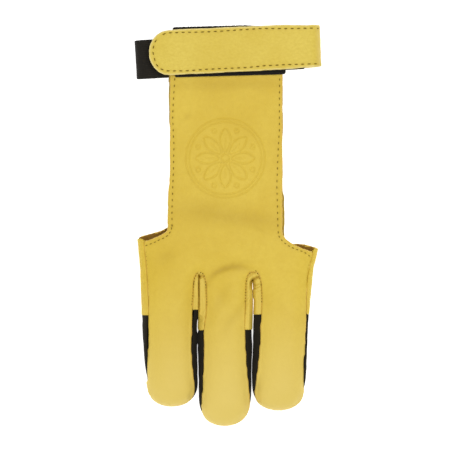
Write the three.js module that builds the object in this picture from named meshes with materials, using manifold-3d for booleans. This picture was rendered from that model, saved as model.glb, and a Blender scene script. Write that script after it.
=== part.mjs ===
// Archery glove with three finger stalls, lying flat with the back of the hand up.
// Millimetres, +Z up, fingers towards -Y and the wrist towards +Y.
// While it is being made, X is 0 at the middle stall's centre and Y is 0 at the crotches.

import * as THREE from 'three';
import Module from 'manifold-3d';
import { mergeVertices } from 'three/addons/utils/BufferGeometryUtils.js';

const wasm = await Module();
wasm.setup();

const { clamp, lerp, smoothstep } = THREE.MathUtils;

// Thickness of each layer
const backThickness = 1.2;
const liningThickness = 1.0;
const palmThickness = 1.5;
const stripThickness = 1.2;
const patchThickness = 1.2;
const hookThickness = 1.0;
const strapThickness = 1.2;
const bandThickness = 1.4;
const seamGap = 0.3;

// Finger stalls: width across, and length from crotch to tip
const leftStallWidth = 27.3;
const middleStallWidth = 28.2;
const rightStallWidth = 28.1;
const leftStallLength = 69.9;
const middleStallLength = 80;
const rightStallLength = 71.9;
const leftTipLength = 12.3;
const middleTipLength = 15;
const rightTipLength = 12.7;
const stallGap = 0.65;
const stallHeight = 11.8;
const handHeight = 12.2;

// Height of the palm's turned-up rim, of the edge where both leathers meet, and the gap there
const palmRise = 2.2;
const meetHeight = 4.2;
const meetGap = 0.5;

// Hand part and tongue
const mouthLeft = 16.1;
const mouthRight = 10.6;
const mouthShow = 2.3;
const tongueWidth = 58.7;
const tongueShift = 0.55;
const tongueFlare = 2;
const notchLength = 9.5;
const crotchDepth = 5.5;
const tongueSag = 1.6;
const liningTuck = 8;

// Wrist: strap, elastic band, patch and tape
const wristDistance = 115.4;
const strapTilt = 0.047;
const patchTilt = 0.027;
const bandTilt = 0.06;
const wristRoom = 5.4;
const patchLength = 57.6;
const patchWidth = 25.4;
const patchShift = 2.4;
const patchDrop = 0.65;
const patchOverhang = 1;
const hookLength = 68;
const hookWidth = 22.4;
const hookDrop = 0.6;
const strapWidth = 23.3;
const strapNarrowing = 0.93;
const strapLeft = 39.4;
const strapRight = 43.1;
const strapRound = 10.4;
const strapFoldReach = 6.2;
const strapEndDroop = 1.2;
const strapLowerRun = 36;
const bandWidth = 20;
const bandDrop = 2.1;
const bandLeft = 41.9;
const bandFoldReach = 4;
const bandUpperRun = 38;
const bandLowerRun = 54;

// Spacing of the folds and facets of the panels
const facetAcross = 3.7;
const facetTongue = 11;
const facetHand = 5.2;
const facetStall = 8.4;
const facetTip = 2.7;

// Shapes that are shared: the tip's roundness, and how full the stalls and the hand are
const tipRoundness = 2.4;
const stallFullness = 2.7;
const handFullness = 7;
const palmFlat = 0.45;
const palmFullness = 2.2;
const palmShare = 1.3;
const rimSlant = 1.25;
const overhang = 1.15;

// Edges of a stall. at is the share of its length from the crotch (negative towards the wrist),
// out its outer edge as a share of half its width, and inset how far in the back's seam lies.
const leftStallOuterEdge = [
  { at: -0.225, out: 1.229, inset: 0.221 },
  { at: -0.143, out: 1.194, inset: 0.209 },
  { at: -0.01, out: 1.126, inset: 0.221 },
  { at: 0.207, out: 1.095, inset: 0.252 },
  { at: 0.397, out: 1.046, inset: 0.206 },
  { at: 0.587, out: 0.962, inset: 0.111 },
  { at: 0.73, out: 0.915, inset: 0.058 },
  { at: 0.785, out: 0.9, inset: 0 },
];
const leftStallInnerEdge = [
  { at: 0, out: 1.065, inset: 0.01 },
  { at: 0.03, out: 1.07, inset: 0.13 },
  { at: 0.09, out: 1.074, inset: 0.186 },
  { at: 0.207, out: 1.061, inset: 0.202 },
  { at: 0.397, out: 1.011, inset: 0.175 },
  { at: 0.539, out: 1.004, inset: 0.217 },
  { at: 0.729, out: 1.04, inset: 0.183 },
  { at: 0.824, out: 1.03, inset: 0.121 },
  { at: 0.881, out: 1.03, inset: 0.06 },
  { at: 0.93, out: 1.03, inset: 0 },
];
const middleStallLeftEdge = [
  { at: 0, out: 0.955, inset: 0.01 },
  { at: 0.018, out: 0.95, inset: 0.13 },
  { at: 0.047, out: 0.943, inset: 0.217 },
  { at: 0.118, out: 0.945, inset: 0.262 },
  { at: 0.275, out: 0.963, inset: 0.265 },
  { at: 0.374, out: 0.974, inset: 0.199 },
  { at: 0.471, out: 1.007, inset: 0.243 },
  { at: 0.637, out: 0.959, inset: 0.173 },
  { at: 0.811, out: 0.963, inset: 0.107 },
  { at: 0.873, out: 0.963, inset: 0.06 },
  { at: 0.93, out: 0.963, inset: 0 },
];
const middleStallRightEdge = [
  { at: 0, out: 0.97, inset: 0.05 },
  { at: 0.02, out: 0.972, inset: 0.1 },
  { at: 0.059, out: 0.985, inset: 0.192 },
  { at: 0.196, out: 1.007, inset: 0.243 },
  { at: 0.367, out: 0.975, inset: 0.232 },
  { at: 0.454, out: 1.004, inset: 0.251 },
  { at: 0.549, out: 0.989, inset: 0.21 },
  { at: 0.74, out: 0.965, inset: 0.09 },
  { at: 0.811, out: 0.967, inset: 0.06 },
  { at: 0.89, out: 0.967, inset: 0 },
];
const rightStallInnerEdge = [
  { at: 0, out: 1.02, inset: 0.14 },
  { at: 0.016, out: 1.02, inset: 0.223 },
  { at: 0.051, out: 1.02, inset: 0.279 },
  { at: 0.109, out: 0.956, inset: 0.27 },
  { at: 0.174, out: 0.933, inset: 0.258 },
  { at: 0.309, out: 0.975, inset: 0.272 },
  { at: 0.519, out: 1.004, inset: 0.252 },
  { at: 0.705, out: 1.04, inset: 0.206 },
  { at: 0.784, out: 1.037, inset: 0.15 },
  { at: 0.823, out: 1.03, inset: 0.105 },
  { at: 0.86, out: 1.03, inset: 0.06 },
  { at: 0.91, out: 1.03, inset: 0 },
];
const rightStallOuterEdge = [
  { at: -0.15, out: 1.392, inset: 0.163 },
  { at: -0.108, out: 1.311, inset: 0.134 },
  { at: -0.059, out: 1.237, inset: 0.122 },
  { at: 0.005, out: 1.189, inset: 0.141 },
  { at: 0.092, out: 1.163, inset: 0.167 },
  { at: 0.2, out: 1.092, inset: 0.122 },
  { at: 0.309, out: 1.052, inset: 0.08 },
  { at: 0.546, out: 0.985, inset: 0.075 },
  { at: 0.731, out: 0.965, inset: 0.094 },
  { at: 0.823, out: 0.922, inset: 0.06 },
  { at: 0.88, out: 0.922, inset: 0 },
];

// Height of the tongue along its length, at 0 where it leaves the hand and 1 at the wrist.
// sink is the share of the sag that it has lost there.
const tongueRows = [
  { at: 0, sink: 0 },
  { at: 0.2, sink: 0.55 },
  { at: 0.45, sink: 1 },
  { at: 0.7, sink: 0.9 },
  { at: 0.86, sink: 0.25 },
  { at: 1, sink: 0 },
];

// Soft dents and folds of the back. across and along are shares of half the middle stall's width and
// of its length, turn is in degrees, and long, wide and deep are shares of those and of its height.
const dents = [
  { across: 0.05, along: -0.06, turn: 8, long: 0.8, wide: 0.2, deep: 0.09 },
  { across: -0.85, along: 0.0, turn: 45, long: 0.45, wide: 0.18, deep: 0.07 },
  { across: 0.3, along: -0.37, turn: -12, long: 1.6, wide: 0.32, deep: 0.06 },
  { across: -0.1, along: 0.16, turn: -65, long: 0.9, wide: 0.22, deep: 0.08 },
  { across: -2.3, along: -0.06, turn: 30, long: 0.7, wide: 0.4, deep: 0.06 },
  { across: 1.9, along: 0.3, turn: -75, long: 0.7, wide: 0.25, deep: 0.05 },
  { across: -2.1, along: 0.45, turn: -80, long: 0.8, wide: 0.25, deep: 0.05 },
];

const wristHeights = stackWristLayers();

// Colours of the materials
const leatherColour = 0xddc25c;
const strapColour = 0xe0ca60;
const liningColour = 0x8a6a2a;
const fabricColour = 0x1c1916;
const tapeColour = 0x26221e;

// Value of a table's column at a place, along a smooth curve through its rows
function follow(rows, at, column) {
  const last = rows.length - 1;
  const place = clamp(at, rows[0].at, rows[last].at);
  let first = 0;
  while (first < last - 1 && place > rows[first + 1].at) {
    first += 1;
  }
  const slope = (row) => {
    const before = rows[Math.max(row - 1, 0)];
    const after = rows[Math.min(row + 1, last)];
    return (after[column] - before[column]) / (after.at - before.at);
  };
  const [from, to] = [rows[first], rows[first + 1]];
  const span = to.at - from.at;
  const t = (place - from.at) / span;
  const start = from[column] + span * slope(first) / 3;
  const end = to[column] - span * slope(first + 1) / 3;
  const curve = new THREE.CubicBezierCurve(
    new THREE.Vector2(0, from[column]),
    new THREE.Vector2(1 / 3, start),
    new THREE.Vector2(2 / 3, end),
    new THREE.Vector2(1, to[column]),
  );
  return curve.getPoint(t).y;
}

// A finger stall: its centre, sizes, both edges and how far towards the wrist each edge starts
function stall(centre, width, length, tipLength, leftEdge, rightEdge, leftStart, rightStart) {
  const half = width / 2;
  const tipStart = 1 - tipLength / length;
  const edges = { '-1': leftEdge, 1: rightEdge };
  const starts = { '-1': -leftStart / length, 1: -rightStart / length };
  return { centre, half, length, tipStart, edges, starts };
}

const leftCentre = -(middleStallWidth + leftStallWidth) / 2 - stallGap;
const rightCentre = (middleStallWidth + rightStallWidth) / 2 + stallGap;
const stallLeft = stall(
  leftCentre, leftStallWidth, leftStallLength, leftTipLength, leftStallOuterEdge, leftStallInnerEdge,
  mouthLeft, 0,
);
const stallMiddle = stall(
  0, middleStallWidth, middleStallLength, middleTipLength, middleStallLeftEdge, middleStallRightEdge,
  0, 0,
);
const stallRight = stall(
  rightCentre, rightStallWidth, rightStallLength, rightTipLength, rightStallInnerEdge,
  rightStallOuterEdge, 0, mouthRight,
);
const stalls = [stallLeft, stallMiddle, stallRight];

// Heights of the wrist's layers, from the surface that the glove lies on up to the strap
function stackWristLayers() {
  const bandUpper = bandThickness + wristRoom;
  const lining = bandUpper + bandThickness + seamGap;
  const tongue = lining + liningThickness + seamGap;
  const patch = tongue + backThickness + seamGap;
  const hook = patch + patchThickness + seamGap;
  const strap = hook + hookThickness + seamGap;
  return { bandUpper, lining, tongue, patch, hook, strap };
}

// Outer edge of a stall at a share of its length, without and with the tip's rounding
function straightEdge(finger, side, at) {
  const share = follow(finger.edges[side], Math.min(at, finger.tipStart), 'out');
  return finger.centre + side * share * finger.half;
}

function outerEdge(finger, side, at) {
  const edge = straightEdge(finger, side, at);
  if (at <= finger.tipStart) {
    return edge;
  }
  const middle = (edge + straightEdge(finger, -side, at)) / 2;
  const reach = clamp((at - finger.tipStart) / (1 - finger.tipStart), 0, 1);
  const narrowing = Math.pow(1 - Math.pow(reach, tipRoundness), 1 / tipRoundness);
  return middle + (edge - middle) * narrowing;
}

// How far in from the outer edge the seam of the back lies, and the seam of the palm
function seamInset(finger, side, at) {
  return Math.max(0, follow(finger.edges[side], at, 'inset')) * finger.half;
}

function backSeam(finger, side, at) {
  return outerEdge(finger, side, at) - side * seamInset(finger, side, at);
}

function palmSeam(finger, side, at) {
  const inset = palmShare * seamInset(finger, side, at) + seamGap;
  return outerEdge(finger, side, at) - side * inset;
}

// How far out a point lies in its stall, from 0 at the middle line to 1 at the outer edge and a little
// further on, so that the surfaces run on past the outline
function stallReach(x, y) {
  const [leftBorder, rightBorder] = [0, 1].map((i) => {
    const [one, other] = [stalls[i], stalls[i + 1]];
    return (straightEdge(one, 1, -y / one.length) + straightEdge(other, -1, -y / other.length)) / 2;
  });
  const finger = x < leftBorder ? stallLeft : x < rightBorder ? stallMiddle : stallRight;
  const at = Math.max(0, -y / finger.length);
  const [left, right] = [straightEdge(finger, -1, at), straightEdge(finger, 1, at)];
  const across = Math.abs(x - (left + right) / 2) / ((right - left) / 2);
  const along = Math.max(0, at - finger.tipStart) / (1 - finger.tipStart);
  const sum = Math.pow(across, tipRoundness) + Math.pow(along, tipRoundness);
  return Math.min(overhang, Math.pow(sum, 1 / tipRoundness));
}

// The same across the whole hand
function handReach(x, y) {
  const left = straightEdge(stallLeft, -1, -y / stallLeft.length);
  const right = straightEdge(stallRight, 1, -y / stallRight.length);
  return Math.min(overhang, Math.abs(x - (left + right) / 2) / ((right - left) / 2));
}

// 0 on the stalls and 1 on the hand
function handShare(y) {
  return smoothstep(y, -middleStallLength * 0.2, middleStallLength * 0.09);
}

// Depth of the dents and folds at a point
function dentDepth(x, y) {
  let depth = 0;
  for (const dent of dents) {
    const turn = THREE.MathUtils.degToRad(dent.turn);
    const dx = x - dent.across * stallMiddle.half;
    const dy = y + dent.along * middleStallLength;
    const along = (dx * Math.cos(turn) + dy * Math.sin(turn)) / (dent.long * stallMiddle.half);
    const across = (dy * Math.cos(turn) - dx * Math.sin(turn)) / (dent.wide * stallMiddle.half);
    depth += dent.deep * stallHeight * Math.exp(-along * along - across * across);
  }
  return depth;
}

// Height of the glove's back at a point, between that of its rim and that of its crown. It is a
// pillow over each stall and one over the hand.
function pillow(x, y, rim, stallTop, handTop) {
  const overStall = rim + (stallTop - rim) * (1 - Math.pow(stallReach(x, y), stallFullness));
  const overHand = rim + (handTop - rim) * (1 - Math.pow(handReach(x, y), handFullness));
  return lerp(overStall, overHand, handShare(y));
}

// A layer of the back panel and the tongue: rim, stall and hand give its height over the glove, and
// drop how far it lies below the leather's top on the tongue
function backLayer(x, y, rim, drop) {
  const glove = pillow(x, y, rim, stallHeight - drop, handHeight - drop);
  const tongueEnd = wristDistance - patchWidth / 2;
  const share = clamp((y - mouthLeft) / (tongueEnd - mouthLeft), 0, 1);
  const wristTop = wristHeights.tongue + backThickness;
  const line = lerp(handHeight, wristTop, share);
  const tongue = line - tongueSag * follow(tongueRows, share, 'sink') - drop;
  const height = lerp(glove, tongue, smoothstep(y, mouthRight, mouthLeft + notchLength));
  return height - dentDepth(x, y) * (1 - share);
}

const backRim = meetHeight + meetGap + backThickness * rimSlant;

function backHeight(x, y) {
  return backLayer(x, y, backRim, 0);
}

function backUnderside(x, y) {
  return backLayer(x, y, backRim - backThickness * rimSlant, backThickness);
}

// How far the palm has turned up at a point, from 0 on its flat part to 1 at its rim
function palmTurn(x, y) {
  const turn = (reach) => Math.pow(Math.max(0, reach - palmFlat) / (1 - palmFlat), palmFullness);
  const hand = turn(Math.pow(handReach(x, y), handFullness / stallFullness));
  return lerp(turn(stallReach(x, y)), hand, handShare(y));
}

function palmUnderside(x, y) {
  return palmRise * palmTurn(x, y);
}

function palmTop(x, y) {
  return lerp(palmThickness, meetHeight, palmTurn(x, y));
}

// A closed wall between an outer and an inner grid of points
function wallBetween(outer, inner) {
  const rows = outer.length;
  const columns = outer[0].length;
  const points = [...outer.flat(), ...inner.flat()];
  const place = (side, row, column) => (side * rows + row) * columns + column;
  const faces = [];
  const quad = (a, b, c, d) => faces.push(a, b, c, a, c, d);
  for (let i = 0; i < rows - 1; i += 1) {
    for (let j = 0; j < columns - 1; j += 1) {
      quad(place(0, i, j), place(0, i, j + 1), place(0, i + 1, j + 1), place(0, i + 1, j));
      quad(place(1, i, j), place(1, i + 1, j), place(1, i + 1, j + 1), place(1, i, j + 1));
    }
    quad(place(0, i, 0), place(0, i + 1, 0), place(1, i + 1, 0), place(1, i, 0));
    const end = columns - 1;
    quad(place(0, i, end), place(1, i, end), place(1, i + 1, end), place(0, i + 1, end));
  }
  for (let j = 0; j < columns - 1; j += 1) {
    quad(place(0, 0, j), place(1, 0, j), place(1, 0, j + 1), place(0, 0, j + 1));
    const end = rows - 1;
    quad(place(0, end, j), place(0, end, j + 1), place(1, end, j + 1), place(1, end, j));
  }
  return faceOutward(points, faces);
}

// Geometry of a closed mesh, turned round if its faces point inward
function faceOutward(points, faces) {
  let volume = 0;
  for (let i = 0; i < faces.length; i += 3) {
    const [a, b, c] = [points[faces[i]], points[faces[i + 1]], points[faces[i + 2]]];
    volume += a.dot(new THREE.Vector3().crossVectors(b, c));
  }
  const geometry = new THREE.BufferGeometry().setFromPoints(points);
  geometry.setIndex(volume < 0 ? faces.slice().reverse() : faces);
  return geometry;
}

// Closed geometry to a solid, and back
function toSolid(geometry) {
  const plain = geometry.clone();
  plain.deleteAttribute('normal');
  plain.deleteAttribute('uv');
  const merged = mergeVertices(plain, 1e-4);
  return new wasm.Manifold(new wasm.Mesh({
    numProp: 3,
    vertProperties: new Float32Array(merged.attributes.position.array),
    triVerts: new Uint32Array(merged.index.array),
  }));
}

function toGeometry(solid) {
  const mesh = solid.getMesh();
  const geometry = new THREE.BufferGeometry();
  geometry.setAttribute('position', new THREE.BufferAttribute(mesh.vertProperties, 3));
  geometry.setIndex(new THREE.BufferAttribute(mesh.triVerts, 1));
  return geometry;
}

// Facet lines from one place to another, both included
function facetLines(from, to, step) {
  const count = Math.max(1, Math.round(Math.abs(to - from) / step));
  return Array.from({ length: count + 1 }, (_, i) => lerp(from, to, i / count));
}

function panelLines() {
  const left = straightEdge(stallLeft, -1, -1);
  const right = straightEdge(stallRight, 1, -1);
  const tipTop = -Math.min(...stalls.map((finger) => finger.length * finger.tipStart));
  const tipEnd = -Math.max(...stalls.map((finger) => finger.length));
  const tongueEnd = wristDistance + patchWidth / 2;
  const lowestHand = -middleStallLength * 0.15;
  const across = facetLines(left - facetAcross / 2, right + facetAcross / 2, facetAcross);
  const along = [
    ...facetLines(tongueEnd + facetTip, mouthLeft + notchLength, facetTongue),
    ...facetLines(mouthLeft + notchLength, lowestHand, facetHand).slice(1),
    ...facetLines(lowestHand, tipTop, facetStall).slice(1),
    ...facetLines(tipTop, tipEnd - facetTip / 2, facetTip).slice(1),
  ];
  return { across, along };
}

// A panel of leather: a curved slab between two surfaces, cut to its outline
function panel(top, bottom, outline) {
  const { across, along } = panelLines();
  const grid = (height) => along.map((y) => across.map((x) => new THREE.Vector3(x, y, height(x, y))));
  const slab = toSolid(wallBetween(grid(top), grid(bottom)));
  const depth = 3 * handHeight;
  const cutter = new THREE.ExtrudeGeometry(outline, { depth, bevelEnabled: false, curveSegments: 6 });
  cutter.translate(0, 0, -depth / 3);
  return toGeometry(slab.intersect(toSolid(cutter)));
}

// Places down one edge of a stall, close together in a crotch and round the tip
function edgePlaces(finger, side) {
  const start = finger.starts[side];
  const crotch = crotchDepth / finger.length;
  const tipSteps = 8;
  const tip = Array.from({ length: tipSteps }, (_, i) => {
    const turn = ((i + 1) / tipSteps) * Math.PI / 2;
    return lerp(finger.tipStart, 1, Math.pow(Math.sin(turn), 2 / tipRoundness));
  });
  const top = start < 0
    ? facetLines(start, crotch, facetStall / finger.length)
    : facetLines(0, crotch, facetTip / 2 / finger.length);
  return [...top, ...facetLines(crotch, finger.tipStart, facetStall / finger.length).slice(1), ...tip];
}

// Points round the three stalls from the left side of the hand to its right side
function stallPoints(seam) {
  const edge = (finger, side) => edgePlaces(finger, side)
    .map((at) => new THREE.Vector2(seam(finger, side, at), -at * finger.length));
  return stalls.flatMap((finger) => [...edge(finger, -1), ...edge(finger, 1).reverse().slice(1)]);
}

const tongueLeft = tongueShift - tongueWidth / 2;
const tongueRight = tongueShift + tongueWidth / 2;
const tongueTop = wristDistance - patchDrop + patchWidth / 2 - patchOverhang;

function backOutline() {
  const shape = new THREE.Shape();
  const points = stallPoints(backSeam);
  const [start, end] = [points[0], points[points.length - 1]];
  const notchLeft = mouthLeft + notchLength / 2;
  const notchRight = mouthRight + notchLength;
  shape.moveTo(tongueLeft, tongueTop);
  shape.lineTo(tongueLeft, notchLeft + notchLength);
  shape.quadraticCurveTo(tongueLeft, notchLeft + 1, tongueLeft - tongueFlare, notchLeft);
  shape.quadraticCurveTo(lerp(start.x, tongueLeft, 0.4), lerp(start.y, notchLeft, 0.25), start.x, start.y);
  points.slice(1).forEach((point) => shape.lineTo(point.x, point.y));
  shape.quadraticCurveTo(lerp(end.x, tongueRight, 0.92), lerp(end.y, notchRight, 0.48),
    tongueRight, notchRight);
  shape.lineTo(tongueRight, tongueTop);
  shape.closePath();
  return shape;
}

function palmOutline() {
  const shape = new THREE.Shape();
  const points = stallPoints(palmSeam);
  const [start, end] = [points[0], points[points.length - 1]];
  const [topLeft, topRight] = [mouthLeft + 3.4 * mouthShow, mouthRight + 1.8 * mouthShow];
  shape.moveTo(start.x, start.y);
  points.slice(1).forEach((point) => shape.lineTo(point.x, point.y));
  shape.lineTo(end.x, mouthRight + 0.6 * mouthShow);
  shape.quadraticCurveTo(lerp(end.x, tongueRight, 0.4), topRight, tongueRight, topRight);
  shape.bezierCurveTo(tongueRight / 2, topRight + 2 * mouthShow, tongueLeft / 3, topLeft + mouthShow,
    tongueLeft, topLeft);
  const cornerLeft = mouthLeft + 1.3 * mouthShow;
  shape.quadraticCurveTo(lerp(start.x, tongueLeft, 0.85), lerp(cornerLeft, topLeft, 0.6),
    start.x, cornerLeft);
  shape.closePath();
  return shape;
}

function liningOutline() {
  const shape = new THREE.Shape();
  const bottom = mouthLeft - liningTuck;
  const middle = (tongueTop + mouthLeft) / 2;
  shape.moveTo(tongueLeft - seamGap * 2, tongueTop - seamGap);
  shape.quadraticCurveTo(tongueLeft + seamGap, middle, tongueLeft + seamGap * 3, bottom);
  shape.lineTo(tongueRight - seamGap * 3, bottom);
  shape.lineTo(tongueRight + seamGap * 3, mouthRight + notchLength - seamGap);
  shape.quadraticCurveTo(tongueRight + seamGap * 2, middle, tongueRight - seamGap, tongueTop - seamGap);
  shape.closePath();
  return shape;
}

function backPanel() {
  return panel(backHeight, backUnderside, backOutline());
}

function tongueLining() {
  const top = (x, y) => backUnderside(x, y) - seamGap;
  return panel(top, (x, y) => top(x, y) - liningThickness, liningOutline());
}

function palmPanel() {
  return panel(palmTop, palmUnderside, palmOutline());
}

// Section of a side strip, from the back's seam round the outside to the palm's seam
function stripSection(finger, side, at, spread) {
  const y = -at * finger.length;
  const seam = backSeam(finger, side, at);
  const out = outerEdge(finger, side, at) + side * spread;
  const top = new THREE.Vector2(seam + side * seamGap, backHeight(seam, y));
  const foot = palmSeam(finger, side, at);
  const low = new THREE.Vector2(foot + side * seamGap, palmUnderside(foot, y) + seamGap / 6);
  const fall = clamp(backHeight(seam - side, y) - top.y, 0, 1);
  const middle = (top.y + low.y) / 2;
  const arc = (start, end, outX) => {
    const waist = new THREE.Vector2(outX, middle);
    const width = Math.abs(outX - start.x);
    const upper = new THREE.CubicBezierCurve(
      start,
      new THREE.Vector2(lerp(start.x, outX, 0.7), start.y - fall * width * 0.7),
      new THREE.Vector2(outX, lerp(middle, start.y, 0.4)),
      waist,
    );
    const lower = new THREE.CubicBezierCurve(
      waist,
      new THREE.Vector2(outX, lerp(middle, end.y, 0.55)),
      new THREE.Vector2(lerp(outX, end.x, 0.45), end.y),
      end,
    );
    const points = [...upper.getPoints(4), ...lower.getPoints(3).slice(1)];
    return points.map((point) => new THREE.Vector3(point.x, y, point.y));
  };
  const innerTop = new THREE.Vector2(top.x, backUnderside(seam, y));
  const innerLow = new THREE.Vector2(low.x, low.y + stripThickness);
  return {
    outer: arc(top, low, out),
    inner: arc(innerTop, innerLow, out - side * stripThickness),
  };
}

// A side strip between two places, its outside spread by a width down to a depth
function sideStrip(finger, side, from, to, spread = 0, depth = 0) {
  const margin = facetTip / 3 / finger.length;
  const between = edgePlaces(finger, side).filter((at) => at > from + margin && at < to - margin);
  const sections = [from, ...between, to]
    .map((at) => stripSection(finger, side, at, at * finger.length < depth ? spread : 0));
  return wallBetween(sections.map((section) => section.outer), sections.map((section) => section.inner));
}

// Where the leather strips end and the black ones begin, and where those end, as shares of length
const changes = {
  leftOuter: { leather: 0.317, end: 0.7 },
  leftInner: { leather: 0.277, end: 0.88 },
  middleLeft: { leather: 0.374, end: 0.87 },
  middleRight: { leather: 0.37, end: 0.81 },
  rightInner: { leather: 0.3, end: 0.86 },
  rightOuter: { leather: 0.3, end: 0.82 },
};

function blackStrip(finger, side, change) {
  return sideStrip(finger, side, change.leather + seamGap / finger.length, change.end);
}

// A forked strip in a crotch: the leather strips of both stalls, grown together at the top
function fourchette(one, oneChange, other, otherChange, top) {
  const spread = seamGap + stallGap / 2;
  const branch = (finger, side, change) => toSolid(
    sideStrip(finger, side, top / finger.length, change.leather, spread, crotchDepth),
  );
  return toGeometry(branch(one, 1, oneChange).add(branch(other, -1, otherChange)));
}

// A flat piece of tape with rounded corners, its underside at a height
function tape(length, width, thickness, shift, height) {
  const round = thickness;
  const [x, y] = [length / 2 - round, width / 2 - round];
  const shape = new THREE.Shape();
  shape.absarc(x, y, round, 0, Math.PI / 2);
  shape.absarc(-x, y, round, Math.PI / 2, Math.PI);
  shape.absarc(-x, -y, round, Math.PI, 1.5 * Math.PI);
  shape.absarc(x, -y, round, 1.5 * Math.PI, 2 * Math.PI);
  const geometry = new THREE.ExtrudeGeometry(shape, {
    depth: thickness, bevelEnabled: false, curveSegments: 4,
  });
  geometry.translate(shift, 0, height);
  return geometry;
}

// A ribbon along a path of rows: place, direction of its outer face, and half its width there
function ribbon(rows, thickness) {
  const face = (sign) => rows.map((row) => [-1, 1].map((side) => new THREE.Vector3(
    row.x + sign * Math.cos(row.turn) * thickness / 2,
    side * row.half,
    row.z + sign * Math.sin(row.turn) * thickness / 2,
  )));
  return wallBetween(face(1), face(-1));
}

// Rows of a fold from the upper run to the lower one, bulging towards a side
function foldRows(x, side, reach, upper, lower, half) {
  const steps = 10;
  const rows = [];
  for (let i = 0; i <= steps; i += 1) {
    const turn = Math.PI / 2 - (i / steps) * Math.PI;
    rows.push({
      x: x + side * reach * Math.cos(turn),
      z: (upper + lower) / 2 + Math.sin(turn) * (upper - lower) / 2,
      turn: side > 0 ? turn : Math.PI - turn,
      half,
    });
  }
  return rows;
}

function wristStrap() {
  const half = strapWidth / 2;
  const halfAtFold = half * strapNarrowing;
  const upper = wristHeights.strap + strapThickness / 2;
  const lower = strapThickness / 2;
  const overBand = bandThickness + seamGap + strapThickness / 2;
  const up = Math.PI / 2;
  const patchEdge = patchShift - patchLength / 2;
  const droop = (x) => strapEndDroop * (1 - smoothstep(x, -strapLeft, patchEdge));
  const rows = [];
  for (const share of [0.01, 0.08, 0.22, 0.45, 0.7, 1]) {
    const x = -strapLeft + strapRound * share;
    const narrowing = Math.sqrt(1 - (1 - share) * (1 - share));
    rows.push({ x, z: upper - droop(x), turn: up, half: half * narrowing });
  }
  rows.push({ x: patchEdge, z: upper, turn: up, half });
  rows.push({ x: patchEdge + patchLength, z: upper, turn: up, half: lerp(half, halfAtFold, 0.2) });
  rows.push(...foldRows(strapRight, 1, strapFoldReach, upper, lower, halfAtFold));
  const bandEnd = bandLowerRun - bandLeft;
  const step = 4 * strapThickness;
  rows.push({ x: bandEnd + seamGap + 2 * step, z: lower, turn: -up, half: halfAtFold });
  rows.push({ x: bandEnd + seamGap, z: overBand, turn: -up, half: halfAtFold });
  rows.push({ x: strapRight - strapLowerRun, z: overBand, turn: -up, half: halfAtFold });
  return ribbon(rows, strapThickness);
}

function elasticBand() {
  const half = bandWidth / 2;
  const upper = wristHeights.bandUpper + bandThickness / 2;
  const lower = bandThickness / 2;
  return ribbon([
    { x: bandUpperRun - bandLeft, z: upper, turn: Math.PI / 2, half },
    ...foldRows(-bandLeft, -1, bandFoldReach, upper, lower, half),
    { x: bandLowerRun - bandLeft, z: lower, turn: 1.5 * Math.PI, half },
  ], bandThickness);
}

// One named mesh with its own material
function piece(name, geometry, color, roughness) {
  geometry.computeVertexNormals();
  const material = new THREE.MeshStandardMaterial({ color, roughness, metalness: 0 });
  const mesh = new THREE.Mesh(geometry, material);
  mesh.name = name;
  return mesh;
}

function leather(name, geometry) {
  return piece(name, geometry, leatherColour, 0.6);
}

function fabric(name, geometry) {
  return piece(name, geometry, fabricColour, 0.9);
}

function gloveBody() {
  const group = new THREE.Group();
  const mouthShares = [-mouthLeft / leftStallLength, -mouthRight / rightStallLength];
  const { leftOuter, leftInner, middleLeft, middleRight, rightInner, rightOuter } = changes;
  group.add(
    leather('back_panel', backPanel()),
    piece('tongue_lining', tongueLining(), liningColour, 0.8),
    leather('palm_panel', palmPanel()),
    leather('side_strip_left', sideStrip(stallLeft, -1, mouthShares[0], leftOuter.leather)),
    leather('side_strip_right', sideStrip(stallRight, 1, mouthShares[1], rightOuter.leather)),
    leather('fourchette_left', fourchette(stallLeft, leftInner, stallMiddle, middleLeft, 1.3)),
    leather('fourchette_right', fourchette(stallMiddle, middleRight, stallRight, rightInner, 0.5)),
    fabric('gusset_left_outer', blackStrip(stallLeft, -1, leftOuter)),
    fabric('gusset_left_inner', blackStrip(stallLeft, 1, leftInner)),
    fabric('gusset_middle_left', blackStrip(stallMiddle, -1, middleLeft)),
    fabric('gusset_middle_right', blackStrip(stallMiddle, 1, middleRight)),
    fabric('gusset_right_inner', blackStrip(stallRight, -1, rightInner)),
    fabric('gusset_right_outer', blackStrip(stallRight, 1, rightOuter)),
  );
  return group;
}

// A group at the wrist, turned by its tilt and moved towards the hand
function atWrist(tilt, drop, ...pieces) {
  const group = new THREE.Group();
  group.add(...pieces);
  group.position.set(0, wristDistance - drop, 0);
  group.rotation.z = tilt;
  return group;
}

function wristClosure() {
  const { patch, hook } = wristHeights;
  const hookShift = strapRight - hookLength / 2 - strapFoldReach / 3;
  const hookGeometry = tape(hookLength, hookWidth, hookThickness, hookShift, hook);
  hookGeometry.translate(0, -hookDrop, 0);
  const patchGeometry = tape(patchLength, patchWidth, patchThickness, patchShift, patch);
  return [
    atWrist(patchTilt, patchDrop, piece('loop_patch', patchGeometry, tapeColour, 0.95)),
    atWrist(
      strapTilt, 0,
      piece('hook_tape', hookGeometry, tapeColour, 0.9),
      piece('wrist_strap', wristStrap(), strapColour, 0.6),
    ),
    atWrist(bandTilt, bandDrop, piece('elastic_band', elasticBand(), tapeColour, 0.85)),
  ];
}

const glove = new THREE.Group();
glove.add(gloveBody(), ...wristClosure());
glove.updateMatrixWorld(true);
const bounds = new THREE.Box3().setFromObject(glove, true);
const centre = bounds.getCenter(new THREE.Vector3());
glove.position.set(-centre.x, -centre.y, -bounds.min.z);

export default glove;
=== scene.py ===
import math
import bmesh
import bpy
import numpy as np
from mathutils import Matrix, Vector, noise
from mathutils.bvhtree import BVHTree
from mathutils.kdtree import KDTree


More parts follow.
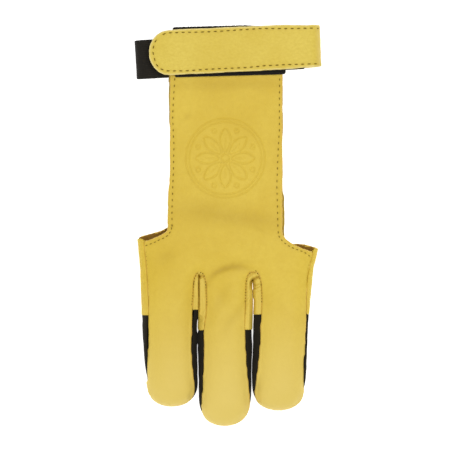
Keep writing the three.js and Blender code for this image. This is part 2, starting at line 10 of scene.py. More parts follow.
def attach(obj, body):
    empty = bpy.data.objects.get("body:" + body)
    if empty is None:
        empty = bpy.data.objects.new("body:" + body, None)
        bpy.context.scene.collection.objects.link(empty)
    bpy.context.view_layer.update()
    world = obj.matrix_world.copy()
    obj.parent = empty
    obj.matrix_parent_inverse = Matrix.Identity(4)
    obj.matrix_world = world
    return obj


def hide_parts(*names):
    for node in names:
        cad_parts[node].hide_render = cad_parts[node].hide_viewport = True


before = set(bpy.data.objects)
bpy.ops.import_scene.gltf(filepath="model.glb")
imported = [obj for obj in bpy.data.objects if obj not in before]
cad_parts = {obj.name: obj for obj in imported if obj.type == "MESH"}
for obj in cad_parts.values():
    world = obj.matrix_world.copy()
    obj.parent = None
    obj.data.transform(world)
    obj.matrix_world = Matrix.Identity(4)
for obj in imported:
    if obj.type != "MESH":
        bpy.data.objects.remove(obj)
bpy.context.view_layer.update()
mm = 0.001
print("glove: frame loaded")

# camera straight above the glove, on a long lens as in a catalogue picture
cameraSetup = {"width": 0.234, "x": -0.00156, "y": 0.00026, "focusHeight": 0.009, "distance": 2.5,
               "sensor": 36}
lens = bpy.data.cameras.new("copyStandCamera")
lens.sensor_width = cameraSetup["sensor"]
lens.lens = cameraSetup["sensor"] * cameraSetup["distance"] / cameraSetup["width"]
lens.clip_start, lens.clip_end = 0.05, 50
cameraObject = bpy.data.objects.new("copyStandCamera", lens)
cameraObject.location = (cameraSetup["x"], cameraSetup["y"],
                         cameraSetup["focusHeight"] + cameraSetup["distance"])
bpy.context.scene.collection.objects.link(cameraObject)
bpy.context.scene.camera = cameraObject


def hexColour(text):
    # sRGB hex turned into the linear values that shaders read
    parts = [int(text[i:i + 2], 16) / 255 for i in (1, 3, 5)]
    return tuple(c / 12.92 if c <= 0.04045 else ((c + 0.055) / 1.055) ** 2.4 for c in parts) + (1,)


def addNode(tree, kind, settings=None, links=None):
    # one node with its settings and the sockets that feed it
    node = tree.nodes.new(kind)
    for name, value in (settings or {}).items():
        if isinstance(name, int) or name in node.inputs:
            node.inputs[name].default_value = value
        else:
            setattr(node, name, value)
    for name, source in (links or {}).items():
        tree.links.new(source, node.inputs[name])
    return node


def newMaterial(name):
    material = bpy.data.materials.new(name)
    material.use_nodes = True
    material.node_tree.nodes.clear()
    return material, material.node_tree


def perMetre(size):
    # pattern scale for features this many millimetres apart
    return 1 / (size * mm)


def noiseNode(tree, place, size, values):
    # a noise in the object's own space, its size in mm
    values = {"Scale": perMetre(size), **values}
    return addNode(tree, "ShaderNodeTexNoise", values, {"Vector": place.outputs["Object"]})


# studio: a white table, a large soft box overhead and a weaker one from the finger side
studio = {"table": 6, "tableTop": "#F4F4F2", "tableGlow": 0.75, "sky": 0.46,
          "overhead": (0.25, 0.2, 1.5, 1.4, 15.5), "side": (-0.9, -1.0, 0.9, 0.8, 4.4)}


def softBox(name, x, y, z, size, power):
    # a round soft box that faces the glove
    light = bpy.data.lights.new(name, "AREA")
    light.shape, light.size, light.energy = "DISK", size, power
    box = bpy.data.objects.new(name, light)
    box.location = (x, y, z)
    box.rotation_euler = Vector((-x, -y, -z)).to_track_quat("-Z", "Y").to_euler()
    bpy.context.scene.collection.objects.link(box)


softBox("overheadSoftBox", *studio["overhead"])
softBox("sideSoftBox", *studio["side"])
sky = bpy.data.worlds.new("studioWalls")
sky.use_nodes = True
sky.node_tree.nodes["Background"].inputs["Color"].default_value = (1, 1, 1, 1)
sky.node_tree.nodes["Background"].inputs["Strength"].default_value = studio["sky"]
bpy.context.scene.world = sky
bpy.context.scene.view_settings.view_transform = "Standard"

# painted white board: nearly even, a faint tooth and a slight glow as on a light table
boardPaint, tree = newMaterial("matteWhiteBoard")
place = addNode(tree, "ShaderNodeTexCoord")
tooth = noiseNode(tree, place, 1.5, {"Detail": 2})
relief = addNode(tree, "ShaderNodeBump", {"Distance": 0.02 * mm, "Strength": 0.4},
                 {"Height": tooth.outputs["Fac"]})
paint = addNode(tree, "ShaderNodeBsdfPrincipled",
                {"Base Color": hexColour(studio["tableTop"]), "Roughness": 0.8, "Specular IOR Level": 0.2,
                 "Emission Color": (1, 1, 1, 1), "Emission Strength": studio["tableGlow"]},
                {"Normal": relief.outputs["Normal"]})
addNode(tree, "ShaderNodeOutputMaterial", None, {"Surface": paint.outputs["BSDF"]})
board = bmesh.new()
bmesh.ops.create_grid(board, x_segments=1, y_segments=1, size=studio["table"] / 2,
                      matrix=Matrix.Translation((0, 0, -0.2 * mm)))
boardMesh = bpy.data.meshes.new("tableTop")
board.to_mesh(boardMesh)
board.free()
boardMesh.materials.append(boardPaint)
tableTop = bpy.data.objects.new("tableTop", boardMesh)
bpy.context.scene.collection.objects.link(tableTop)
print("glove: camera, lights and table placed")


def leatherMaterial(name, look):
    # full-grain leather, dyed through and tumbled soft: even and matt, with a pebble too fine to count,
    # cloudy tone, painted shade in creases, hollows, stamped lines and stitch dimples, painted light towards
    # the stall tips and on the crotch roll tops, and paler where it was cut
    material, tree = newMaterial(name)
    place = addNode(tree, "ShaderNodeTexCoord")
    stretch = addNode(tree, "ShaderNodeMapping", {"Scale": (look["streak"], 1, 1)},
                      {"Vector": place.outputs["Object"]})
    cloud = noiseNode(tree, place, look["cloudSize"], {"Detail": 2, "Roughness": 0.5})
    mottle = addNode(tree, "ShaderNodeTexNoise",
                     {"Scale": perMetre(look["mottleSize"]), "Detail": 5, "Roughness": 0.6},
                     {"Vector": stretch.outputs["Vector"]})
    cells = addNode(tree, "ShaderNodeTexVoronoi",
                    {"feature": "DISTANCE_TO_EDGE", "Scale": perMetre(look["grainSize"]), "Randomness": 1},
                    {"Vector": stretch.outputs["Vector"]})
    pebble = addNode(tree, "ShaderNodeMapRange", {"From Min": 0, "From Max": 0.3, "To Min": 0, "To Max": 1},
                     {"Value": cells.outputs["Distance"]})
    wrinkle = addNode(tree, "ShaderNodeTexNoise",
                      {"Scale": perMetre(look["wrinkleSize"]), "Detail": 4, "Roughness": 0.55,
                       "Distortion": 0.6},
                      {"Vector": stretch.outputs["Vector"]})
    soften = addNode(tree, "ShaderNodeMapRange", {"From Min": 0.36, "From Max": 0.64},
                     {"Value": cloud.outputs["Fac"]})
    tone = addNode(tree, "ShaderNodeMix",
                   {"data_type": "RGBA", 6: hexColour(look["deep"]), 7: hexColour(look["light"])},
                   {0: soften.outputs["Result"]})
    speckShare = addNode(tree, "ShaderNodeMapRange",
                         {"From Min": 0.3, "From Max": 0.7, "To Max": look["mottle"]},
                         {"Value": mottle.outputs["Fac"]})
    speck = addNode(tree, "ShaderNodeMix", {"data_type": "RGBA", 7: hexColour(look["speck"])},
                    {0: speckShare.outputs["Result"], 6: tone.outputs[2]})
    # painted light: paler towards the stall tips and on the crotch roll tops
    paintedLightMark = addNode(tree, "ShaderNodeAttribute", {"attribute_name": "paintedLight"})
    paintedLight = addNode(tree, "ShaderNodeMix", {"data_type": "RGBA", 7: hexColour(look["paintedLight"])},
                   {0: paintedLightMark.outputs["Fac"], 6: speck.outputs[2]})
    # painted shade: the shade mark darkens the colour in creases, hollows, stamped lines and stitch dimples
    paintedShadeMark = addNode(tree, "ShaderNodeAttribute", {"attribute_name": "shade"})
    paintedShade = addNode(tree, "ShaderNodeMix", {"data_type": "RGBA", 7: hexColour(look["paintedShade"])},
                     {0: paintedShadeMark.outputs["Fac"], 6: paintedLight.outputs[2]})
    cutMark = addNode(tree, "ShaderNodeAttribute", {"attribute_name": "cut"})
    cut = addNode(tree, "ShaderNodeMix", {"data_type": "RGBA", 7: hexColour(look["cutEdge"])},
                  {0: cutMark.outputs["Fac"], 6: paintedShade.outputs[2]})
    roughness = addNode(tree, "ShaderNodeMapRange",
                        {"To Min": look["roughness"] - 0.07, "To Max": look["roughness"] + 0.07},
                        {"Value": wrinkle.outputs["Fac"]})
    folds = addNode(tree, "ShaderNodeBump", {"Distance": look["wrinkleHeight"] * mm},
                    {"Height": wrinkle.outputs["Fac"]})
    grain = addNode(tree, "ShaderNodeBump", {"Distance": look["grainHeight"] * mm},
                    {"Height": pebble.outputs["Result"], "Normal": folds.outputs["Normal"]})
    shader = addNode(tree, "ShaderNodeBsdfPrincipled", {"IOR": 1.46, "Specular IOR Level": 0.36},
                     {"Base Color": cut.outputs[2], "Roughness": roughness.outputs["Result"],
                      "Normal": grain.outputs["Normal"]})
    addNode(tree, "ShaderNodeOutputMaterial", None, {"Surface": shader.outputs["BSDF"]})
    return material


# in each look, the colour mixed in by the shade mark is painted shade, and the colour mixed in towards the
# tips and on the roll tops is painted light
gloveLeatherLook = {"light": "#D8BB42", "deep": "#D2B339", "speck": "#C8A730", "paintedShade": "#A27F0C",
                    "cutEdge": "#D6AC52", "paintedLight": "#DCC263",
                    "streak": 1, "cloudSize": 26, "mottleSize": 2.6, "mottle": 0.35, "grainSize": 0.75,
                    "grainHeight": 0.035, "wrinkleSize": 3.2, "wrinkleHeight": 0.22, "roughness": 0.56}
strapLeatherLook = {"light": "#DCC452", "deep": "#D7BD48", "speck": "#C9AC3A", "paintedShade": "#A8821E",
                    "cutEdge": "#EADA98", "paintedLight": "#E0C652",
                    "streak": 0.7, "cloudSize": 30, "mottleSize": 1.2, "mottle": 0.5, "grainSize": 0.55,
                    "grainHeight": 0.06, "wrinkleSize": 1.8, "wrinkleHeight": 0.09, "roughness": 0.5}
liningLook = {"light": "#A98A28", "deep": "#9C7E22", "speck": "#8A6C1C", "paintedShade": "#6E5214",
              "cutEdge": "#A08A2C", "paintedLight": "#A98A28",
              "streak": 1, "cloudSize": 18, "mottleSize": 2, "mottle": 0.5, "grainSize": 0.7,
              "grainHeight": 0.03, "wrinkleSize": 2.4, "wrinkleHeight": 0.2, "roughness": 0.7}
gloveLeather = leatherMaterial("tumbledCowhide", gloveLeatherLook)
strapLeather = leatherMaterial("embossedCowhideStrap", strapLeatherLook)
liningLeather = leatherMaterial("splitLeatherLining", liningLook)


def napMaterial(name, look):
    # the flesh side of split hide: short brushed fibres, so no gloss, brown, with soft tone changes
    material, tree = newMaterial(name)
    place = addNode(tree, "ShaderNodeTexCoord")
    brushed = noiseNode(tree, place, look["brushSize"], {"Detail": 3})
    fibres = noiseNode(tree, place, look["fibreSize"], {"Detail": 6, "Roughness": 0.7})
    colour = addNode(tree, "ShaderNodeMix",
                     {"data_type": "RGBA", 6: hexColour(look["deep"]), 7: hexColour(look["light"])},
                     {0: brushed.outputs["Fac"]})
    nap = addNode(tree, "ShaderNodeBump", {"Distance": look["napHeight"] * mm},
                  {"Height": fibres.outputs["Fac"]})
    shader = addNode(tree, "ShaderNodeBsdfPrincipled",
                     {"Roughness": 0.95, "Specular IOR Level": 0.15, "Sheen Weight": 0.25,
                      "Sheen Roughness": 0.6},
                     {"Base Color": colour.outputs[2], "Normal": nap.outputs["Normal"]})
    addNode(tree, "ShaderNodeOutputMaterial", None, {"Surface": shader.outputs["BSDF"]})
    return material


fleshSide = napMaterial("brushedFleshSide",
                        {"light": "#946C1E", "deep": "#7A5712", "brushSize": 4, "fibreSize": 0.5,
                         "napHeight": 0.2})


def tapeMaterial(name, look):
    # woven black narrow fabric: fine ribs along the tape and picks across it, so it is matt with a
    # dull thread sheen. The real picks are about 0.4 mm apart, drawn a little coarser so they show
    material, tree = newMaterial(name)
    place = addNode(tree, "ShaderNodeTexCoord")
    turned = addNode(tree, "ShaderNodeMapping", {"Rotation": (0, 0, -look["turn"])},
                     {"Vector": place.outputs["Object"]})
    waves = []
    for direction, count, unevenness in (("Y", look["ribs"], 0.4), ("X", look["picks"], 0.5)):
        waves.append(addNode(tree, "ShaderNodeTexWave",
                             {"bands_direction": direction, "Scale": perMetre(count) / 3.18,
                              "Distortion": unevenness, "Detail": 1, "Detail Scale": 3},
                             {"Vector": turned.outputs["Vector"]}))
    weave = addNode(tree, "ShaderNodeMath", {"operation": "MULTIPLY"},
                    {0: waves[0].outputs["Fac"], 1: waves[1].outputs["Fac"]})
    dust = noiseNode(tree, place, look["dustSize"], {"Detail": 4})
    lit = addNode(tree, "ShaderNodeMath", {"operation": "MULTIPLY"},
                  {0: weave.outputs["Value"], 1: dust.outputs["Fac"]})
    colour = addNode(tree, "ShaderNodeMix",
                     {"data_type": "RGBA", 6: hexColour(look["deep"]), 7: hexColour(look["light"])},
                     {0: lit.outputs["Value"]})
    threads = addNode(tree, "ShaderNodeBump", {"Distance": look["threadHeight"] * mm},
                      {"Height": weave.outputs["Value"]})
    shader = addNode(tree, "ShaderNodeBsdfPrincipled",
                     {"Roughness": look["roughness"], "Specular IOR Level": 0.2,
                      "Sheen Weight": look["sheen"], "Sheen Roughness": 0.45},
                     {"Base Color": colour.outputs[2], "Normal": threads.outputs["Normal"]})
    addNode(tree, "ShaderNodeOutputMaterial", None, {"Surface": shader.outputs["BSDF"]})
    return material


wovenElastic = tapeMaterial("wovenElasticWebbing",
                            {"light": "#302C24", "deep": "#191610", "turn": 0.06, "ribs": 1.05, "picks": 0.7,
                             "dustSize": 3, "threadHeight": 0.1, "roughness": 0.8,
                             "sheen": 0.04})
stretchKnit = tapeMaterial("stretchNylonKnit",
                           {"light": "#342E1B", "deep": "#171309", "turn": 0, "ribs": 0.55, "picks": 0.55,
                            "dustSize": 5, "threadHeight": 0.06, "roughness": 0.85,
                            "sheen": 0.04})
loopTape = tapeMaterial("brushedLoopTape",
                        {"light": "#34312B", "deep": "#141210", "turn": 0.03, "ribs": 0.8, "picks": 0.6,
                         "dustSize": 1.4, "threadHeight": 0.2, "roughness": 0.95,
                         "sheen": 0.08})
hookTape = tapeMaterial("mouldedHookTape",
                        {"light": "#2E2B26", "deep": "#131110", "turn": 0.04, "ribs": 0.9, "picks": 0.9,
                         "dustSize": 3, "threadHeight": 0.15, "roughness": 0.6,
                         "sheen": 0.05})

# bonded nylon sewing thread: dark brown, hard twisted, a small dull shine
sewingThread, tree = newMaterial("bondedNylonThread")
place = addNode(tree, "ShaderNodeTexCoord")
twist = noiseNode(tree, place, 0.35, {"Detail": 2})
threadTone = addNode(tree, "ShaderNodeMix",
                     {"data_type": "RGBA", 6: hexColour("#57440A"), 7: hexColour("#7E6414")},
                     {0: twist.outputs["Fac"]})
ply = addNode(tree, "ShaderNodeBump", {"Distance": 0.05 * mm}, {"Height": twist.outputs["Fac"]})
strand = addNode(tree, "ShaderNodeBsdfPrincipled", {"Roughness": 0.8, "Specular IOR Level": 0.12},
                 {"Base Color": threadTone.outputs[2], "Normal": ply.outputs["Normal"]})
addNode(tree, "ShaderNodeOutputMaterial", None, {"Surface": strand.outputs["BSDF"]})
print("glove: materials mixed")


def cutLinePoints(mesh, turn=50, step=0.5 * mm):
    # points along the edges where a sheet's face meets its cut rim
    points = []
    for edge in mesh.edges:
        if len(edge.link_faces) == 2 and edge.calc_face_angle(0) > math.radians(turn):
            start, end = (v.co for v in edge.verts)
            count = max(1, int((end - start).length / step))
            points += [start.lerp(end, (i + 0.5) / count) for i in range(count)]
    return points


def pointTree(points):
    # finds the nearest of many points
    tree = KDTree(len(points))
    for i, point in enumerate(points):
        tree.insert(point, i)
    tree.balance()
    return tree


def readPlaces(mesh):
    places = np.empty(len(mesh.vertices) * 3)
    mesh.vertices.foreach_get("co", places)
    return places.reshape(-1, 3)


def readNormals(mesh):
    normals = np.empty(len(mesh.vertices) * 3, np.float32)
    mesh.vertices.foreach_get("normal", normals)
    return normals.reshape(-1, 3).astype(float)


def writePlaces(mesh, places):
    mesh.vertices.foreach_set("co", places.astype(np.float32).ravel())
    mesh.update()


def relax(mesh, places, strengths):
    # one round for each strength: a point moves towards the middle of its neighbours, or away from it
    # where the strength is negative
    pairs = np.empty(len(mesh.edges) * 2, np.int32)
    mesh.edges.foreach_get("vertices", pairs)
    one, other = pairs.reshape(-1, 2).T
    total = len(places)
    counts = np.bincount(np.concatenate([one, other]), minlength=total)
    for strength in strengths:
        sums = np.stack([np.bincount(one, places[other, k], total) + np.bincount(other, places[one, k], total)
                         for k in range(3)], axis=1)
        places = places + np.broadcast_to(strength, total)[:, None] * (sums / counts[:, None] - places)
    return places


def softStep(values, start, end):
    # 0 up to start and 1 from end on, eased between them
    share = np.clip((values - start) / (end - start), 0, 1)
    return share * share * (3 - 2 * share)


# how hand cutting wavers, and how a sheet is eased and its cut rim kept, distances in mm
handCut = {"amount": 0.07, "long": 23, "short": 6.3}
sheetCare = {"easeFrom": 0.5, "easeTo": 3.1, "rimFrom": 0.6, "rimTo": 1.6, "rimSwell": 0.36,
             "pull": 0.5, "push": -0.53, "cutMark": 0.75, "farthest": 10}


def softCopy(nodeName, pieceName, cell, easing=24, rounding=6, swell=(0.1, 0.1), cutByHand=True, evenRim=0):
    # the CAD sheet as an even skin of small faces: its broad faces are eased into curves away from the
    # cut edges, those edges are rounded and evened, and the whole swells a little, sideways and upwards
    # in mm, to close the seams. Hand cutting makes every outline waver a little, the same for pieces
    # that meet
    shape = bmesh.new()
    shape.from_mesh(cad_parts[nodeName].data)
    bmesh.ops.remove_doubles(shape, verts=shape.verts, dist=1e-6)
    cutLine = pointTree(cutLinePoints(shape))
    rough = bpy.data.meshes.new(pieceName)
    shape.to_mesh(rough)
    shape.free()
    piece = bpy.data.objects.new(pieceName, rough)
    bpy.context.scene.collection.objects.link(piece)
    skin = piece.modifiers.new("skin", "REMESH")
    skin.mode, skin.voxel_size = "VOXEL", cell * mm
    skinned = bpy.data.meshes.new_from_object(piece.evaluated_get(bpy.context.evaluated_depsgraph_get()))
    piece.modifiers.remove(skin)
    piece.data = skinned
    skinned.name = pieceName
    bpy.data.meshes.remove(rough)
    places = readPlaces(skinned)
    fromCut = np.array([cutLine.find(place)[2] for place in places])
    broad = softStep(fromCut / mm, sheetCare["easeFrom"], sheetCare["easeTo"])
    rim = 1 - softStep(fromCut / mm, sheetCare["rimFrom"], sheetCare["rimTo"])
    places = relax(skinned, places, [sheetCare["pull"] * broad] * easing)
    places = relax(skinned, places, [sheetCare["pull"], sheetCare["push"]] * rounding)
    places = relax(skinned, places, [sheetCare["pull"] * rim] * evenRim)
    writePlaces(skinned, places)
    if evenRim:
        places += readNormals(skinned) * (sheetCare["rimSwell"] * mm * rim)[:, None]
        writePlaces(skinned, places)
    places += readNormals(skinned) * (swell[0] * mm, swell[0] * mm, swell[1] * mm)
    for k in (0, 1) if cutByHand else ():
        along = 2 * math.pi * (places[:, 1 - k] / mm)
        waver = np.sin(along / handCut["long"] + k) + 0.5 * np.sin(along / handCut["short"] + 2 * k)
        places[:, k] += handCut["amount"] * waver * mm
    writePlaces(skinned, places)
    skinned.polygons.foreach_set("use_smooth", [True] * len(skinned.polygons))
    mark(piece, "cut", 1 - fromCut / (sheetCare["cutMark"] * mm))
    mark(piece, "inside", fromCut / (sheetCare["farthest"] * mm))
    return piece


def mark(piece, name, values):
    # a value from 0 to 1 for each point, which the material reads
    layer = piece.data.attributes.get(name) or piece.data.attributes.new(name, "FLOAT", "POINT")
    layer.data.foreach_set("value", np.clip(values, 0, 1).astype(np.float32))


def readDistance(piece):
    # distance from the cut rim in mm, known up to the farthest that is kept
    values = np.empty(len(piece.data.vertices), np.float32)
    piece.data.attributes["inside"].data.foreach_get("value", values)
    return sheetCare["farthest"] * values.astype(float)


# the stalls from left to right, and how their tips are evened, in mm
stallSpans = {"left": (-45, -16), "middle": (-15.6, 13.2), "right": (13.6, 45)}
tipRound = {"half": 13, "parts": 45, "window": 9, "reach": 2.5, "fade": 3}


def roundTips(piece):
    # the CAD outline of a stall tip is short straight cuts, here evened to one curve
    places = readPlaces(piece.data)
    near = np.exp(-(readDistance(piece) / tipRound["reach"]) ** 2)
    parts, window = tipRound["parts"], tipRound["window"]
    for low, high in stallSpans.values():
        span = (places[:, 0] > low * mm) & (places[:, 0] < high * mm)
        level = places[span, 1].min() + tipRound["half"] * mm
        chosen = np.flatnonzero(span & (places[:, 1] < level))
        middle = (places[chosen, 0].min() + places[chosen, 0].max()) / 2
        off = places[chosen, :2] - (middle, level)
        turn = -np.arctan2(off[:, 1], off[:, 0]) / math.pi * parts
        radius = np.hypot(off[:, 0], off[:, 1])
        rim = np.zeros(parts)
        np.maximum.at(rim, np.clip(turn.astype(int), 0, parts - 1), radius)
        padded = np.pad(rim, window // 2, "edge")
        even = sum(padded[i:i + parts] for i in range(window)) / window
        change = np.interp(turn - 0.5, np.arange(parts), even - rim) * near[chosen]
        change *= np.clip(-off[:, 1] / (tipRound["fade"] * mm), 0, 1)
        places[chosen, :2] += off * (change / radius)[:, None]
    writePlaces(piece.data, places)


sideRule = {"facing": 0.35, "fromCut": 0.3, "fromTips": -60}


def sideWith(piece, material, up):
    # a second material on the faces that look up (1) or down (-1), away from the cut rim and the tips
    piece.data.materials.append(material)
    normals = np.empty(len(piece.data.polygons) * 3, np.float32)
    piece.data.polygons.foreach_get("normal", normals)
    corners = np.array([p.vertices[0] for p in piece.data.polygons])
    inside = up * normals.reshape(-1, 3)[:, 2] > sideRule["facing"]
    inside &= readDistance(piece)[corners] > sideRule["fromCut"]
    inside &= readPlaces(piece.data)[corners, 1] > sideRule["fromTips"] * mm
    piece.data.polygons.foreach_set("material_index", inside.astype(np.int32))


def finishPiece(piece, nodes):
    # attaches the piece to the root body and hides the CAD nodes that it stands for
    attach(piece, "root")
    if nodes:
        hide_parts(*nodes)


def refine(piece, test):
    # halves the faces whose points all pass the test
    shape = bmesh.new()
    shape.from_mesh(piece.data)
    chosen = [edge for edge in shape.edges if all(test(v) for v in edge.verts)]
    bmesh.ops.subdivide_edges(shape, edges=chosen, cuts=1, use_grid_fill=True)
    bmesh.ops.triangulate(shape, faces=[face for face in shape.faces if len(face.verts) > 4])
    shape.to_mesh(piece.data)
    shape.free()


def softOvals(places, rows, column):
    # sum of soft ovals, each with its middle, turn, half lengths in mm and its amounts
    x, y = places[:, 0] / mm, places[:, 1] / mm
    total = np.zeros(len(places))
    for row in rows:
        angle = math.radians(row["turn"])
        along = (x - row["x"]) * math.cos(angle) + (y - row["y"]) * math.sin(angle)
        across = (y - row["y"]) * math.cos(angle) - (x - row["x"]) * math.sin(angle)
        total += row[column] * np.exp(-(along / row["long"]) ** 2 - (across / row["wide"]) ** 2)
    return total


def lineField(places, line):
    # distance to a drawn line, and how far along it the nearest point is, both in mm
    x, y = places[:, 0] / mm, places[:, 1] / mm
    best = np.full(len(places), 1e9)
    along = np.zeros(len(places))
    done = 0
    for (x0, y0), (x1, y1) in zip(line, line[1:]):
        length = math.hypot(x1 - x0, y1 - y0)
        share = np.clip(((x - x0) * (x1 - x0) + (y - y0) * (y1 - y0)) / length ** 2, 0, 1)
        away = np.hypot(x - x0 - share * (x1 - x0), y - y0 - share * (y1 - y0))
        nearer = away < best
        best[nearer] = away[nearer]
        along[nearer] = (done + share * length)[nearer]
        done += length
    return best, along / done


foldFade = {"start": 0.06, "end": 0.94, "power": 0.7}


def lineFolds(places, folds, column):
    # sum of folds that follow drawn lines and fade at both ends
    total = np.zeros(len(places))
    for fold in folds:
        away, along = lineField(places, fold["line"])
        inner = np.clip(along, foldFade["start"], foldFade["end"])
        fade = np.sin(np.pi * inner) ** fold.get("fade", foldFade["power"])
        total += fold[column] * np.exp(-(away / fold["wide"]) ** 2) * fade
    return total


def lower(piece, depth, above=None, blend=0.3):
    # presses the piece down by a depth in mm at each point, on faces that look up if above is given
    places = readPlaces(piece.data)
    if above is not None:
        depth = depth * softStep(readNormals(piece.data)[:, 2], above, above + blend)
    places[:, 2] -= depth * mm
    writePlaces(piece.data, places)


# where the hide is soft and creased on the back of the hand, in mm: deep lowers it, dark paints shade into
# its colour, and a negative dark paints light
backHollows = [
    {"x": 6, "y": 3.9, "turn": -6, "long": 26, "wide": 4.6, "deep": 0.3, "dark": 0.26},
    {"x": -14, "y": 9.5, "turn": 4, "long": 15, "wide": 5, "deep": 0.2, "dark": 0.1},
    {"x": 0, "y": 73.5, "turn": 1, "long": 40, "wide": 3.2, "deep": 0.2, "dark": 0.2},
    {"x": 6.2, "y": -19.2, "turn": 4, "long": 6, "wide": 1.5, "deep": 0.15, "dark": 0.16},
    {"x": -32, "y": -16.5, "turn": 30, "long": 5, "wide": 3.6, "deep": 0.25, "dark": 0.16},
    {"x": -2.8, "y": -37.5, "turn": 62, "long": 7, "wide": 2.8, "deep": 0.35, "dark": 0.14},
    {"x": 3.6, "y": -47.5, "turn": 50, "long": 8, "wide": 2.4, "deep": 0.4, "dark": 0.16},
    {"x": -5.5, "y": -49, "turn": 60, "long": 5, "wide": 2.4, "deep": -0.35, "dark": -0.1},
    {"x": -21.3, "y": 56.4, "turn": 40, "long": 2.4, "wide": 1.3, "deep": 0.05, "dark": 0.2},
    {"x": 17, "y": -2.2, "turn": -30, "long": 3, "wide": 0.8, "deep": 0.12, "dark": 0.12},
]
# the knuckle creases, in mm: deep lowers the leather, dark paints shade along the crease
backFolds = [
    {"line": [(-10.4, -29.4), (-8.8, -26.8), (-6, -24.5), (-2.4, -22.6), (2, -21.6), (7, -21.6), (12, -23)],
     "deep": 0.55, "wide": 1.6, "dark": 0.55},
    {"line": [(-12, -33), (-10.6, -30)], "deep": 0.2, "wide": 1.2, "dark": 0.2},
]
# the tongue widens a little at the left where it runs into the hand, in mm
tongueRoot = {"from": -3, "fade": 6, "level": 8, "to": 31, "inner": 23, "outer": 30, "out": 1.15}
# the stamped ornament on the tongue: a plain eight-petal leathercraft rosette inside a double ring, in mm;
# its dark is painted shade in the stamped lines
rosette = {"x": -1.5, "y": 35, "petals": 8, "root": 3.1, "tip": 15.6, "half": 2.9, "fullness": 0.7,
           "centre": 2.1, "bead": 1.05, "beadRadius": 15.3, "rings": (20.5, 18.8), "margin": 1.6,
           "line": 0.42, "vein": (0.15, 0.6), "veinDeep": 0.7, "deep": 0.3, "puff": 0.14, "dark": 0.12}


def rosetteRelief(places):
    # depth in mm of the stamped lines, less the puff of the petals between them
    x, y = places[:, 0] / mm - rosette["x"], places[:, 1] / mm - rosette["y"]
    radius, turn = np.hypot(x, y), np.arctan2(y, x)
    step = 2 * math.pi / rosette["petals"]
    fromAxis = (turn + step / 2) % step - step / 2
    fromGap = turn % step - step / 2
    along, across = radius * np.cos(fromAxis), np.abs(radius * np.sin(fromAxis))
    share = np.clip((along - rosette["root"]) / (rosette["tip"] - rosette["root"]), 0, 1)
    inPetal = (share > 0) & (share < 1)
    half = rosette["half"] * np.sin(np.pi * share) ** rosette["fullness"]
    line = rosette["line"]
    grooves = np.exp(-((across - half) / line) ** 2) * inPetal
    inVein = (share > rosette["vein"][0]) & (share < rosette["vein"][1])
    grooves += rosette["veinDeep"] * np.exp(-(across / line) ** 2) * inVein
    bead = np.hypot(radius * np.cos(fromGap) - rosette["beadRadius"], radius * np.sin(fromGap))
    rings = [radius - ring for ring in rosette["rings"]]
    for distance in (radius - rosette["centre"], bead - rosette["bead"], *rings):
        grooves += np.exp(-(distance / line) ** 2)
    petal = np.clip(1 - (across / np.maximum(half, 0.1)) ** 2, 0, 1) * inPetal
    return np.clip(grooves, 0, 1), petal


print("glove: back of the hand")
backLeather = softCopy("back_panel", "backLeather", 0.612, easing=34, rounding=8, evenRim=16)
roundTips(backLeather)
onTongue = Vector((rosette["x"] * mm, rosette["y"] * mm))
stamped = (rosette["rings"][0] + rosette["margin"]) * mm
refine(backLeather, lambda v: v.normal.z > 0.5 and (v.co.xy - onTongue).length < stamped)
places = readPlaces(backLeather.data)
lower(backLeather, softOvals(places, backHollows, "deep") + lineFolds(places, backFolds, "deep"))
# the back closes down on the palm round the stall tips, and the tongue's corner under the strap is
# trimmed, in mm
tips = {"outerStalls": -78, "middleStall": -86, "fromX": -15.5, "toX": 13.2, "fade": 6, "down": 1.6,
        "reach": 2.4}
hiddenCorner = {"y": (94, 98), "x": (-27, -22), "back": 1.3}
places = readPlaces(backLeather.data)
x, y = places[:, 0] / mm, places[:, 1] / mm
start = np.where((x > tips["fromX"]) & (x < tips["toX"]), tips["middleStall"], tips["outerStalls"])
rim = np.exp(-(readDistance(backLeather) / tips["reach"]) ** 2) * np.clip((start - y) / tips["fade"], 0, 1)
lower(backLeather, tips["down"] * rim)
places = readPlaces(backLeather.data)
trimmed = hiddenCorner["back"] * mm * softStep(y, *hiddenCorner["y"])
places[:, 1] -= trimmed * (1 - softStep(x, *hiddenCorner["x"]))
writePlaces(backLeather.data, places)
places = readPlaces(backLeather.data)
x, y = places[:, 0] / mm, places[:, 1] / mm
along = softStep(y, tongueRoot["from"], tongueRoot["from"] + tongueRoot["fade"])
along *= 1 - softStep(y, tongueRoot["level"], tongueRoot["to"])
places[:, 0] -= tongueRoot["out"] * mm * along * softStep(-x, tongueRoot["inner"], tongueRoot["outer"])
writePlaces(backLeather.data, places)
grooves, petal = rosetteRelief(places)
lower(backLeather, rosette["deep"] * grooves - rosette["puff"] * petal, above=0.3)
# painted shade: the hollows, creases and stamped lines are darkened in the colour through the shade mark
shades = {"backLeather": softOvals(places, backHollows, "dark") + lineFolds(places, backFolds, "dark")
          + rosette["dark"] * grooves}
backLeather.data.materials.append(gloveLeather)
sideWith(backLeather, fleshSide, -1)

print("glove: lining, palm and side walls")
tongueLining = softCopy("tongue_lining", "tongueLining", 0.6, easing=20)
